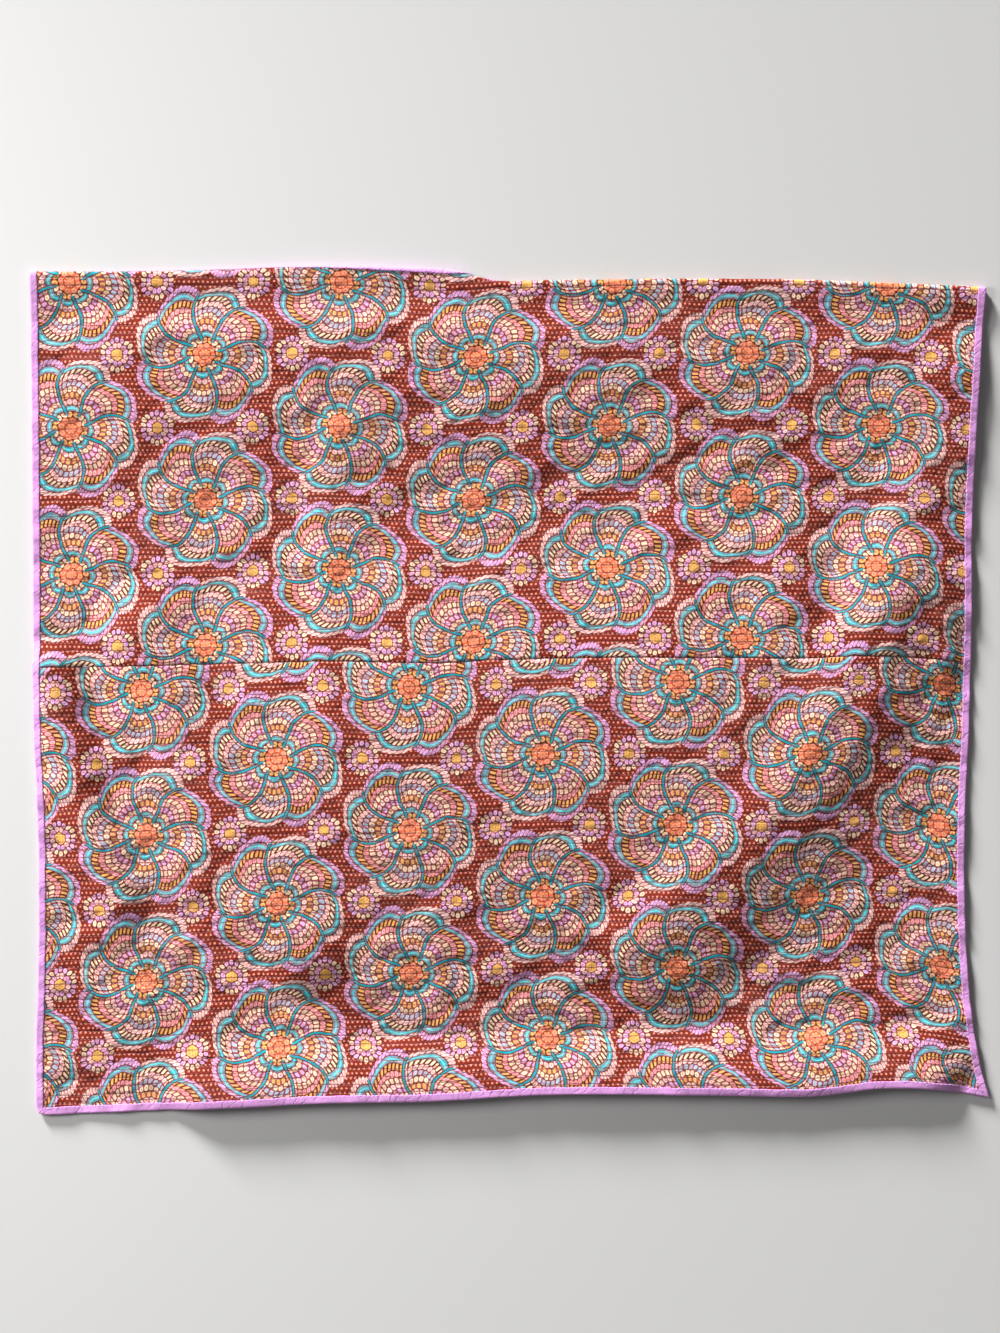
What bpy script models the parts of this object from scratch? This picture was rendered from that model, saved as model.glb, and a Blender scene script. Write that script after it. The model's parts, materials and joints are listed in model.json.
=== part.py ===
"""A hand-quilted cotton bedcover, laid out flat on a floor, face up.

Two printed and quilted panels are joined by a seam across the middle. Four strips of binding are
folded around the raw edges and mitred at the corners. The top edge is turned under, apart from a
stretch left of the middle where the binding comes out on top. The cover lies in soft folds and
touches the floor between them.

Every point is given in the cloth's own measures: u across from the left edge, v down from the top
edge, and n above the middle of the quilted layers. place() says where that point lies in the world.
"""

from collections import namedtuple

import bmesh
import bpy
import numpy as np

# Cut sizes of the flat cover, in metres
WIDTH = 2.400
LENGTH = 2.150
SEAM = 1.024
THICKNESS = 0.005

# Binding: the width that shows, its cloth, and the play left between the pieces
BINDING_WIDTH = 0.020
BINDING_CLOTH = 0.001
PLAY = 0.0004
PANEL_EDGE = BINDING_CLOTH + PLAY
MITRE_PLAY = 0.00030
MITRE_TIP = 0.0006
MITRE_SWELL = 0.0001

# Quilting: rows of running stitch counted from the seam, drawn down between plump ridges
ROW_PITCH = 0.020
ROW_DEPTH = 0.0012
SEAM_DEPTH = 0.0010
LAST_ROW_ABOVE = 48
LAST_ROW_BELOW = 54

# The turned top edge: radius of the turn at the middle of the cloth, and the way down to the floor
TURN_RADIUS = 0.007
TURN_SETTLES = 0.120
FOLDS_START = 0.160
OUTER_HALF = THICKNESS / 2 + PLAY + BINDING_CLOTH

# The edge of the cover stands on its binding and sinks to the floor within this distance
EDGE_LIFT = PLAY + BINDING_CLOTH
EDGE_SETTLES = 0.085

# Outline on the floor: how far each edge runs inside a rectangle, by the share of that edge
HALF_WIDTH = 1.200
HALF_LENGTH = 1.0668
Inset = namedtuple("Inset", "share metres")
LEFT_EDGE = (
    Inset(0.00, -0.005),
    Inset(0.31, 0.001),
    Inset(0.45, 0.003),
    Inset(0.56, 0.006),
    Inset(0.66, 0.014),
    Inset(0.84, 0.014),
    Inset(0.92, 0.009),
    Inset(1.00, 0.010),
)
RIGHT_EDGE = (
    Inset(0.00, 0.006),
    Inset(0.08, 0.018),
    Inset(0.30, 0.040),
    Inset(0.41, 0.041),
    Inset(0.53, 0.046),
    Inset(0.67, 0.058),
    Inset(0.80, 0.055),
    Inset(0.90, 0.039),
    Inset(0.97, 0.014),
    Inset(1.00, -0.004),
)
TOP_EDGE = (
    Inset(0.00, 0.014),
    Inset(0.19, 0.010),
    Inset(0.31, 0.001),
    Inset(0.39, 0.003),
    Inset(0.44, 0.009),
    Inset(0.48, 0.033),
    Inset(0.55, 0.034),
    Inset(0.69, 0.031),
    Inset(0.79, 0.033),
    Inset(0.91, 0.043),
    Inset(1.00, 0.053),
)
BOTTOM_EDGE = (
    Inset(0.00, 0.000),
    Inset(0.06, 0.006),
    Inset(0.21, 0.023),
    Inset(0.31, 0.035),
    Inset(0.40, 0.038),
    Inset(0.53, 0.055),
    Inset(0.72, 0.054),
    Inset(0.82, 0.053),
    Inset(0.89, 0.072),
    Inset(0.94, 0.068),
    Inset(1.00, 0.045),
)

# How much of the top edge is turned under: it runs out towards the step, then comes back at once
TURNED_LEFT = (
    Inset(0.00, 0.036),
    Inset(0.12, 0.034),
    Inset(0.22, 0.030),
    Inset(0.30, 0.024),
    Inset(0.38, 0.018),
    Inset(0.43, 0.015),
)
TURNED_RIGHT = 0.030
TURNED_RIGHT_END = 0.044
STEP_START = 0.430
STEP_END = 0.495

# Folds: a crest through three places on the floor, its height, and the reach of its two slopes.
# A lower FOOT makes the slopes straighter down to the floor.
Fold = namedtuple("Fold", "start middle end height reach_upper_left reach_lower_right")
FOLDS = {
    "right swag": Fold((0.950, 0.260), (0.740, -0.170), (0.350, -0.600), 0.033, 0.150, 0.250),
    "upper right swag": Fold((1.100, 0.780), (1.030, 0.500), (0.900, 0.180), 0.017, 0.110, 0.170),
    "left swag": Fold((-0.950, 0.130), (-0.760, -0.270), (-0.520, -0.660), 0.028, 0.110, 0.170),
    "left edge": Fold((-1.150, 0.050), (-1.085, -0.260), (-0.980, -0.520), 0.022, 0.085, 0.085),
    "hem": Fold((-0.760, -1.030), (0.226, -1.005), (1.040, -0.985), 0.030, 0.155, 0.070),
    "top left": Fold((-0.900, 0.900), (-0.452, 0.910), (0.060, 0.900), 0.020, 0.120, 0.420),
    "top right": Fold((0.160, 0.900), (0.578, 0.910), (0.980, 0.900), 0.012, 0.110, 0.360),
    "middle": Fold((-0.440, 0.640), (-0.465, 0.300), (-0.450, -0.080), 0.014, 0.080, 0.160),
    "short one": Fold((0.427, 0.377), (0.452, 0.201), (0.415, 0.000), 0.013, 0.120, 0.100),
    "short two": Fold((0.691, 0.327), (0.666, 0.126), (0.565, -0.126), 0.012, 0.100, 0.110),
    "swell": Fold((-0.250, -0.090), (0.100, -0.120), (0.400, -0.070), 0.036, 0.520, 0.740),
}
CREST_STEPS = 12
FOOT = 0.62

# Where the facets of the middle surface meet
TURN_STEPS_IN_BINDING = 3
TURN_STEP = BINDING_WIDTH / TURN_STEPS_IN_BINDING
TURN_LINES = 8
STATION_ROWS = 3.5
FIRST_COLUMN = 0.050
COLUMNS = 21
RUN_OUT_START = 0.29
RUN_OUT_COLUMNS = 8
STEP_COLUMNS = 14
LEAST_COLUMN_GAP = 0.005
TALL_FACET = 0.030
NORMAL_REACH = 0.0005
SAME_PLACE = 1e-6
KEY_DIGITS = 7

PRINTED_COTTON = (0.40, 0.23, 0.21, 1.0)
LILAC_COTTON = (0.66, 0.36, 0.66, 1.0)
CLOTH_ROUGHNESS = 0.9


def clear_scene():
    for thing in list(bpy.data.objects):
        bpy.data.objects.remove(thing, do_unlink=True)


def smooth_table(table, share):
    """A smooth curve through a table's rows, read at the given shares."""
    places = np.array([row.share for row in table])
    values = np.array([row.metres for row in table])
    slopes = np.gradient(values, places)
    share = np.clip(share, places[0], places[-1])
    low = np.clip(np.searchsorted(places, share, side="right") - 1, 0, len(places) - 2)
    span = places[low + 1] - places[low]
    t = (share - places[low]) / span
    rise = t * t * (3 - 2 * t)
    start_slope = slopes[low] * span * t * (1 - t) ** 2
    end_slope = slopes[low + 1] * span * t * t * (t - 1)
    return values[low] * (1 - rise) + values[low + 1] * rise + start_slope + end_slope


def ease(t):
    """From 0 to 1 with level ends."""
    t = np.clip(t, 0.0, 1.0)
    return t * t * (3 - 2 * t)


def turned_under(share):
    """The cloth hidden behind the top line, by the share of the width."""
    left = np.maximum(smooth_table(TURNED_LEFT, share), 0.0)
    right = TURNED_RIGHT + (TURNED_RIGHT_END - TURNED_RIGHT) * share
    return left + right * ease((share - STEP_START) / (STEP_END - STEP_START))


def crest_line(fold):
    """Points along a fold's crest, on the curve through its three places."""
    start, middle, end = (np.array(place) for place in (fold.start, fold.middle, fold.end))
    t = np.linspace(0.0, 1.0, CREST_STEPS + 1)[:, None]
    handle = 2 * middle - (start + end) / 2
    return start * (1 - t) ** 2 + handle * 2 * t * (1 - t) + end * t * t


def fold_height(fold, x, y):
    """The height that one fold adds: a round ridge along its crest, with round ends."""
    crest = crest_line(fold)
    nearest = np.full(x.shape, np.inf)
    reach = np.ones(x.shape)
    mean_reach = (fold.reach_upper_left + fold.reach_lower_right) / 2
    half_difference = (fold.reach_upper_left - fold.reach_lower_right) / 2
    for start, end in zip(crest[:-1], crest[1:]):
        run = end - start
        length = np.hypot(*run)
        along = np.clip(((x - start[0]) * run[0] + (y - start[1]) * run[1]) / length**2, 0, 1)
        away_x = x - start[0] - along * run[0]
        away_y = y - start[1] - along * run[1]
        away = np.hypot(away_x, away_y)
        side = np.array((-run[1], run[0])) / length
        if side[1] < side[0]:
            side = -side
        lean = (away_x * side[0] + away_y * side[1]) / np.maximum(away, 1e-9)
        closer = away < nearest
        nearest = np.where(closer, away, nearest)
        reach = np.where(closer, mean_reach + half_difference * lean, reach)
    rise = (1 + np.cos(np.pi * np.clip(nearest / reach, 0, 1))) / 2
    return fold.height * rise**FOOT


def folds_height(x, y):
    """All folds together, where they cross as one ridge and not as a stack."""
    return np.sqrt(sum(fold_height(fold, x, y) ** 2 for fold in FOLDS.values()))


def near_edge(distance):
    """1 along the binding, down to 0 where the cover has sunk to the floor."""
    return 1 - ease((distance - BINDING_WIDTH) / (EDGE_SETTLES - BINDING_WIDTH))


def middle_surface(u, v):
    """Where the middle of the quilted layers lies in the world."""
    across = u / WIDTH
    hidden = turned_under(across)
    shown = np.maximum(v - hidden, 0.0)
    down = shown / (LENGTH - hidden)
    turn = np.minimum(hidden / TURN_RADIUS, np.pi)

    left = -HALF_WIDTH + smooth_table(LEFT_EDGE, down)
    right = HALF_WIDTH - smooth_table(RIGHT_EDGE, down)
    overhang = (TURN_RADIUS + OUTER_HALF) * np.sin(np.minimum(turn, np.pi / 2))
    top = HALF_LENGTH - smooth_table(TOP_EDGE, across) - overhang
    bottom = -HALF_LENGTH + smooth_table(BOTTOM_EDGE, across)
    x = left + (right - left) * across
    y = top + (bottom - top) * down

    sides = (1 - near_edge(u)) * (1 - near_edge(WIDTH - u))
    ends = (1 - near_edge(LENGTH - v)) * (1 - near_edge(shown))
    lift = EDGE_LIFT * (1 - sides * ends)
    stand = TURN_RADIUS * (1 - np.cos(turn)) * (1 - ease(shown / TURN_SETTLES))
    z = THICKNESS / 2 + lift + stand + folds_height(x, y) * ease(shown / FOLDS_START)

    back = np.maximum(hidden - v, 0.0)
    angle = np.minimum(back / TURN_RADIUS, turn)
    run_back = back - angle * TURN_RADIUS
    y = y + TURN_RADIUS * np.sin(angle) + run_back * np.cos(angle)
    z = z - TURN_RADIUS * (1 - np.cos(angle)) - run_back * np.sin(angle)
    return np.stack((x, y, z), axis=-1)


def offset_surface(u, v, n):
    """The point n above the middle surface, square to it."""
    left = np.maximum(u - NORMAL_REACH, 0.0)
    right = np.minimum(u + NORMAL_REACH, WIDTH)
    above = np.maximum(v - NORMAL_REACH, 0.0)
    below = np.minimum(v + NORMAL_REACH, LENGTH)
    across = middle_surface(right, v) - middle_surface(left, v)
    down = middle_surface(u, below) - middle_surface(u, above)
    normal = np.cross(down, across)
    normal /= np.linalg.norm(normal, axis=-1, keepdims=True)
    return middle_surface(u, v) + normal * n[:, None]


def turn_lines():
    """Lines across the turned top edge, from the raw edge down."""
    return [TURN_STEP * k for k in range(TURN_LINES)]


def station_lines():
    """The lines across the whole cover on which the middle surface bends."""
    pitch = ROW_PITCH * STATION_ROWS
    first_row = SEAM - LAST_ROW_ABOVE * ROW_PITCH
    above = [SEAM - pitch * k for k in range(int((SEAM - first_row) / pitch), 0, -1)]
    below = [SEAM + pitch * k for k in range(1, 1 + int((LENGTH - BINDING_WIDTH - SEAM) / pitch))]
    return turn_lines() + [first_row] + above + [SEAM] + below + [LENGTH - BINDING_WIDTH, LENGTH]


def column_lines():
    """The lines down the whole cover on which the middle surface bends."""
    inner = np.linspace(FIRST_COLUMN, WIDTH - FIRST_COLUMN, COLUMNS)
    return [BINDING_WIDTH, *inner, WIDTH - BINDING_WIDTH]


def turn_columns():
    """All lines down through the turned edge, closer together where it comes out on top."""
    run_out = np.linspace(RUN_OUT_START, STEP_START, RUN_OUT_COLUMNS)[:-1] * WIDTH
    step = np.linspace(STEP_START, STEP_END, STEP_COLUMNS) * WIDTH
    base = np.array(column_lines())
    extra = [u for u in (*run_out, *step) if np.min(np.abs(base - u)) > LEAST_COLUMN_GAP]
    return sorted([*base, *extra])


def bracket(lines, values):
    """The lines on both sides of each value, and how far the value is between them."""
    lines = np.array(sorted(lines))
    low = np.clip(np.searchsorted(lines, values, side="right") - 1, 0, len(lines) - 2)
    share = (values - lines[low]) / (lines[low + 1] - lines[low])
    return lines[low], lines[low + 1], share


def place(cloth_points):
    """World positions of points given as u, v and n, on facets between the lines."""
    u, v, n = np.array(cloth_points).T
    left, right, across = bracket([0.0, *turn_columns(), WIDTH], u)
    above, below, down = bracket(station_lines(), v)
    total = np.zeros((len(u), 3))
    for line_u, share_u in ((left, 1 - across), (right, across)):
        for line_v, share_v in ((above, 1 - down), (below, down)):
            total += offset_surface(line_u, line_v, n) * (share_u * share_v)[:, None]
    return total


class ClothMesh:
    """Collects faces between lines of cloth points, then builds one closed object."""

    def __init__(self):
        self.index = {}
        self.faces = []

    def number(self, point):
        key = tuple(round(float(value), KEY_DIGITS) for value in point)
        return self.index.setdefault(key, len(self.index))

    def triangle(self, *points):
        corners = [self.number(point) for point in points]
        if len(set(corners)) == 3:
            self.faces.append(corners)

    def strip(self, line_a, line_b):
        """Faces between two lines of (key, point), which share some of their keys.

        Between two shared keys line_b goes first, so that every facet is cut on the same diagonal.
        """
        shared = sorted({key for key, _ in line_a} & {key for key, _ in line_b})
        a = b = 0
        for stop in shared[1:]:
            while b + 1 < len(line_b) and line_b[b + 1][0] <= stop:
                self.triangle(line_a[a][1], line_b[b][1], line_b[b + 1][1])
                b += 1
            while a + 1 < len(line_a) and line_a[a + 1][0] <= stop:
                self.triangle(line_a[a][1], line_b[b][1], line_a[a + 1][1])
                a += 1

    def quartered_strip(self, line_a, line_b):
        """Faces between two lines with the same keys, each facet cut in four from its middle.

        The first and the last facet lie under the binding and keep the one diagonal.
        """
        self.strip(line_a[:2], line_b[:2])
        self.strip(line_a[-2:], line_b[-2:])
        corners = [point for _, point in line_a[1:-1]], [point for _, point in line_b[1:-1]]
        for a_start, a_end, b_start, b_end in zip(corners[0], corners[0][1:], corners[1], corners[1][1:]):
            middle = tuple(np.mean((a_start, a_end, b_start, b_end), axis=0))
            for start, end in ((a_start, b_start), (b_start, b_end), (b_end, a_end), (a_end, a_start)):
                self.triangle(start, end, middle)

    def build(self, name, colour):
        mesh = bpy.data.meshes.new(name)
        mesh.from_pydata(place(list(self.index)).tolist(), [], self.faces)
        work = bmesh.new()
        work.from_mesh(mesh)
        bmesh.ops.recalc_face_normals(work, faces=work.faces)
        work.to_mesh(mesh)
        work.free()
        made = bpy.data.objects.new(name, mesh)
        bpy.context.scene.collection.objects.link(made)
        mesh.materials.append(cotton(name, colour))
        return made


def cotton(name, colour):
    material = bpy.data.materials.new(name + "_cotton")
    material.use_nodes = True
    shader = material.node_tree.nodes["Principled BSDF"]
    shader.inputs["Base Color"].default_value = colour
    shader.inputs["Roughness"].default_value = CLOTH_ROUGHNESS
    shader.inputs["Metallic"].default_value = 0.0
    return material


def quilted_lines(sign, last_row):
    """Lines from the seam outwards: each row's drawn-down stitches, and the ridge before it."""
    lines = []
    for half_row in range(1, 2 * last_row + 1):
        depth = ROW_DEPTH if half_row % 2 == 0 else 0.0
        lines.append((SEAM + sign * half_row * ROW_PITCH / 2, depth))
    return lines


def upper_lines():
    """(v, depth) of every line of the upper panel's face, from the top edge to the seam."""
    turned = [(v, 0.0) for v in turn_lines()[1:]]
    rows = quilted_lines(-1, LAST_ROW_ABOVE)[::-1]
    return [(PANEL_EDGE, 0.0)] + turned + rows + [(SEAM - PLAY / 2, SEAM_DEPTH)]


def lower_lines():
    """(v, depth) of every line of the lower panel's face, from the seam to the bottom edge."""
    rows = quilted_lines(1, LAST_ROW_BELOW)
    hem_ridge = (SEAM + (LAST_ROW_BELOW + 0.5) * ROW_PITCH, 0.0)
    under_binding = [(LENGTH - BINDING_WIDTH, 0.0), (LENGTH - PANEL_EDGE, 0.0)]
    return [(SEAM + PLAY / 2, SEAM_DEPTH)] + rows + [hem_ridge] + under_binding


def panel(name, lines):
    """One quilted panel: a face with raised rows, a plain back, and four raw edges.

    Under the binding the face is level, so that the flaps lie evenly on it.
    """
    half = THICKNESS / 2
    last_column = WIDTH - BINDING_WIDTH
    stations = np.array(station_lines())
    all_v = [v for v, _ in lines]
    raw_edges = (all_v[0], all_v[-1])
    bends = [v for v in all_v if np.min(np.abs(stations - v)) < SAME_PLACE or v in raw_edges]

    def columns_at(v):
        return turn_columns() if v < TURN_LINES * TURN_STEP else column_lines()

    def face_row(v, depth):
        first, *quilted, last = columns_at(v)
        flat = [(u, (u, v, half)) for u in (first, last)]
        return flat[:1] + [(u, (u, v, half - depth)) for u in quilted] + flat[1:]

    def back_row(v):
        return [(u, (u, v, -half)) for u in [PANEL_EDGE, *columns_at(v), WIDTH - PANEL_EDGE]]

    def down(u, places, n):
        return [(round(float(v), KEY_DIGITS), (u, v, n)) for v in places]

    mesh = ClothMesh()
    for upper, lower in zip(lines[:-1], lines[1:]):
        mesh.strip(face_row(*upper), face_row(*lower))
    for upper, lower in zip(bends[:-1], bends[1:]):
        tall = lower - upper > TALL_FACET and columns_at(upper) == columns_at(lower)
        join = mesh.quartered_strip if tall else mesh.strip
        join(back_row(upper), back_row(lower))
    mesh.strip(down(PANEL_EDGE, bends, half), down(BINDING_WIDTH, all_v, half))
    mesh.strip(down(last_column, all_v, half), down(WIDTH - PANEL_EDGE, bends, half))
    for u in (PANEL_EDGE, WIDTH - PANEL_EDGE):
        mesh.strip(down(u, bends, half), down(u, bends, -half))
    for v, depth in (lines[0], lines[-1]):
        margin_left = [(PANEL_EDGE, (PANEL_EDGE, v, half))]
        margin_right = [(WIDTH - PANEL_EDGE, (WIDTH - PANEL_EDGE, v, half))]
        mesh.strip(margin_left + face_row(v, depth) + margin_right, back_row(v))
    return mesh.build(name, PRINTED_COTTON)


def binding(name, outer, inner, cross):
    """One strip folded around an edge: lines along it, on its outer and its inner side.

    Both go from the flap on the face around the edge to the flap on the back, and cross says
    which cloth measure changes from line to line.
    """
    mesh = ClothMesh()

    def join(line_a, line_b):
        middle = len(line_a) // 2
        ordered = sorted((line_a, line_b), key=lambda line: line[middle][1][cross])
        mesh.strip(*ordered)

    for chain in (outer, inner):
        for line_a, line_b in zip(chain[:-1], chain[1:]):
            join(line_a, line_b)
    join(outer[0], inner[0])
    join(outer[-1], inner[-1])
    for end in (0, -1):
        outer_end = [(number, line[end][1]) for number, line in enumerate(outer)]
        inner_end = [(number, line[end][1]) for number, line in enumerate(inner)]
        mesh.strip(outer_end, inner_end)
    return mesh.build(name, LILAC_COTTON)


def folded_section(depths):
    """(distance from the edge, n) around the outer and the inner side of a folded strip."""
    outside = OUTER_HALF
    inside = THICKNESS / 2 + PLAY
    outer = [(d, outside) for d in reversed(depths)] + [(d, -outside) for d in depths]
    lining = [BINDING_CLOTH, *depths[1:]]
    inner = [(d, inside) for d in reversed(lining)] + [(d, -inside) for d in lining]
    return outer, inner


def side_binding(name, on_right):
    """A strip down one side. Its flaps end on the mitres at the top and at the bottom."""
    stations = [v for v in station_lines() if 0 < v < LENGTH]

    def line(distance, n):
        points = []
        for key, v in enumerate([0.0, *stations, LENGTH]):
            room = max(min(v, LENGTH - v) - MITRE_PLAY, 0.0)
            reach = min(distance, room)
            if v == 0.0 or v == LENGTH:
                reach = min(distance, BINDING_CLOTH + MITRE_TIP)
                v = reach + MITRE_PLAY if v == 0.0 else LENGTH - reach - MITRE_PLAY
                reach += MITRE_SWELL * (distance > BINDING_CLOTH)
            points.append((key, (WIDTH - reach if on_right else reach, v, n)))
        return points

    outer, inner = folded_section((0.0, BINDING_WIDTH))
    return binding(name, [line(*at) for at in outer], [line(*at) for at in inner], cross=0)


def end_binding(name, at_bottom):
    """A strip along the top or the bottom edge, cut on the mitres at both ends."""
    columns = column_lines() if at_bottom else turn_columns()

    def line(distance, n):
        v = LENGTH - distance if at_bottom else distance
        start = distance + MITRE_PLAY
        places = [start, *(min(max(u, start), WIDTH - start) for u in columns), WIDTH - start]
        return [(key, (u, v, n)) for key, u in enumerate(places)]

    depths = (0.0, BINDING_WIDTH) if at_bottom else turn_lines()[: TURN_STEPS_IN_BINDING + 1]
    outer, inner = folded_section(depths)
    return binding(name, [line(*at) for at in outer], [line(*at) for at in inner], cross=1)


clear_scene()
panel("upper_panel", upper_lines())
panel("lower_panel", lower_lines())
end_binding("binding_top", at_bottom=False)
end_binding("binding_bottom", at_bottom=True)
side_binding("binding_left", on_right=False)
side_binding("binding_right", on_right=True)
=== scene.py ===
"""Looks for a hand-quilted cotton bedcover that lies flat on a pale floor, seen from above.

Every point of the cover is given in the cloth's own measures: u across from the left edge, v down
from the top edge and n above the middle of the quilted layers. middle_surface() says where the
middle of the layers lies in the world, with the cover's folds, creases and turned top edge.

The printed cloth carries a generic design of beaded flowers and small rosettes on dotted cloth. It
is worked out from u and v in the shader, so it follows the cloth through each fold.
"""

import json
from collections import namedtuple

import bpy
import numpy as np
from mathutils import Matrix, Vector

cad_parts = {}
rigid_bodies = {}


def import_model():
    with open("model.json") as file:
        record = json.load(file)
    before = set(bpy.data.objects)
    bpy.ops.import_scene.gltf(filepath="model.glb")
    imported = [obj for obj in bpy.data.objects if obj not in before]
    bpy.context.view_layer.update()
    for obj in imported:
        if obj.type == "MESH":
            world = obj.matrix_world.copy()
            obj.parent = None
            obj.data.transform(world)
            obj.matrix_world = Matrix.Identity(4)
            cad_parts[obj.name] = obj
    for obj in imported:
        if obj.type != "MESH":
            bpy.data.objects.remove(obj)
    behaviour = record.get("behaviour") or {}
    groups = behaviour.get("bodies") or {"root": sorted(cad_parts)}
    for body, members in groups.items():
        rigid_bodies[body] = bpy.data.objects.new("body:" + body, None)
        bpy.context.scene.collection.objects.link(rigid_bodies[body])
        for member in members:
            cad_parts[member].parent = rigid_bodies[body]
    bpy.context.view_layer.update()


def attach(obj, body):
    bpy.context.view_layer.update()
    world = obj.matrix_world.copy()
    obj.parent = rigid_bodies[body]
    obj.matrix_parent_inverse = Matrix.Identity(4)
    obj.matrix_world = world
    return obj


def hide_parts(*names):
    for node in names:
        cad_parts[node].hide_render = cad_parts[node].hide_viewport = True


# Cut sizes of the flat cover, in metres
WIDTH = 2.400
LENGTH = 2.150
SEAM = 1.024
THICKNESS = 0.005

# Binding: the width that shows, its cloth, and the play left between the pieces
BINDING_WIDTH = 0.020
BINDING_CLOTH = 0.001
PLAY = 0.0004
PANEL_EDGE = BINDING_CLOTH + PLAY
MITRE_PLAY = 0.00030
OUTER_HALF = THICKNESS / 2 + PLAY + BINDING_CLOTH
INNER_HALF = THICKNESS / 2 + PLAY

# Rows of running stitch, counted from the seam
ROW_PITCH = 0.020
ROW_DEPTH = 0.0017
SEAM_DEPTH = 0.0016
SEAM_REACH = 0.006

# The turned top edge: radius of the turn at the middle of the cloth, and the way down to the floor
TURN_RADIUS = 0.007
TURN_SETTLES = 0.120
FOLDS_START = 0.160

# The edge of the cover stands on its binding and sinks to the floor within this distance
EDGE_LIFT = PLAY + BINDING_CLOTH
EDGE_SETTLES = 0.085

# Outline on the floor: how far each edge runs inside a rectangle, by the share of that edge
HALF_WIDTH = 1.200
HALF_LENGTH = 1.0668
Inset = namedtuple("Inset", "share metres")
LEFT_EDGE = (
    Inset(0.00, -0.005),
    Inset(0.31, 0.001),
    Inset(0.45, 0.003),
    Inset(0.56, 0.006),
    Inset(0.66, 0.014),
    Inset(0.84, 0.014),
    Inset(0.92, 0.009),
    Inset(1.00, 0.010),
)
RIGHT_EDGE = (
    Inset(0.00, 0.006),
    Inset(0.08, 0.018),
    Inset(0.30, 0.040),
    Inset(0.41, 0.041),
    Inset(0.53, 0.046),
    Inset(0.67, 0.058),
    Inset(0.80, 0.055),
    Inset(0.90, 0.039),
    Inset(0.97, 0.014),
    Inset(1.00, -0.004),
)
TOP_EDGE = (
    Inset(0.00, 0.014),
    Inset(0.19, 0.010),
    Inset(0.31, 0.001),
    Inset(0.39, 0.003),
    Inset(0.44, 0.009),
    Inset(0.48, 0.033),
    Inset(0.55, 0.034),
    Inset(0.69, 0.031),
    Inset(0.79, 0.033),
    Inset(0.91, 0.043),
    Inset(1.00, 0.053),
)
BOTTOM_EDGE = (
    Inset(0.00, 0.000),
    Inset(0.06, 0.006),
    Inset(0.21, 0.023),
    Inset(0.31, 0.035),
    Inset(0.40, 0.038),
    Inset(0.53, 0.055),
    Inset(0.72, 0.054),
    Inset(0.82, 0.053),
    Inset(0.89, 0.072),
    Inset(0.94, 0.068),
    Inset(1.00, 0.045),
)

# How much of the top edge is turned under: it runs out towards the step, then comes back at once
TURNED_LEFT = (
    Inset(0.00, 0.036),
    Inset(0.12, 0.034),
    Inset(0.22, 0.030),
    Inset(0.30, 0.024),
    Inset(0.38, 0.018),
    Inset(0.43, 0.015),
)
TURNED_RIGHT = 0.030
TURNED_RIGHT_END = 0.044
STEP_START = 0.430
STEP_END = 0.495

# Folds: a crest through three places on the floor, its height, and the reach of its two slopes.
# A lower FOOT makes the slopes straighter down to the floor.
Fold = namedtuple("Fold", "start middle end height reach_upper_left reach_lower_right")
FOLDS = {
    "right swag": Fold((0.950, 0.260), (0.740, -0.170), (0.350, -0.600), 0.033, 0.150, 0.250),
    "upper right swag": Fold((1.100, 0.780), (1.030, 0.500), (0.900, 0.180), 0.017, 0.110, 0.170),
    "left swag": Fold((-0.950, 0.130), (-0.760, -0.270), (-0.520, -0.660), 0.028, 0.110, 0.170),
    "left edge": Fold((-1.150, 0.050), (-1.085, -0.260), (-0.980, -0.520), 0.022, 0.085, 0.085),
    "hem": Fold((-0.760, -1.030), (0.226, -1.005), (1.040, -0.985), 0.030, 0.155, 0.070),
    "top left": Fold((-0.900, 0.900), (-0.452, 0.910), (0.060, 0.900), 0.020, 0.120, 0.420),
    "top right": Fold((0.160, 0.900), (0.578, 0.910), (0.980, 0.900), 0.012, 0.110, 0.360),
    "middle": Fold((-0.440, 0.640), (-0.465, 0.300), (-0.450, -0.080), 0.014, 0.080, 0.160),
    "short one": Fold((0.427, 0.377), (0.452, 0.201), (0.415, 0.000), 0.013, 0.120, 0.100),
    "short two": Fold((0.691, 0.327), (0.666, 0.126), (0.565, -0.126), 0.012, 0.100, 0.110),
    "swell": Fold((-0.250, -0.090), (0.100, -0.120), (0.400, -0.070), 0.036, 0.520, 0.740),
}
CREST_STEPS = 12
FOOT = 0.62

# The share of the creases that is drawn out of the cloth where the folds are highest
DRAWN_TIGHT = 0.6

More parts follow.
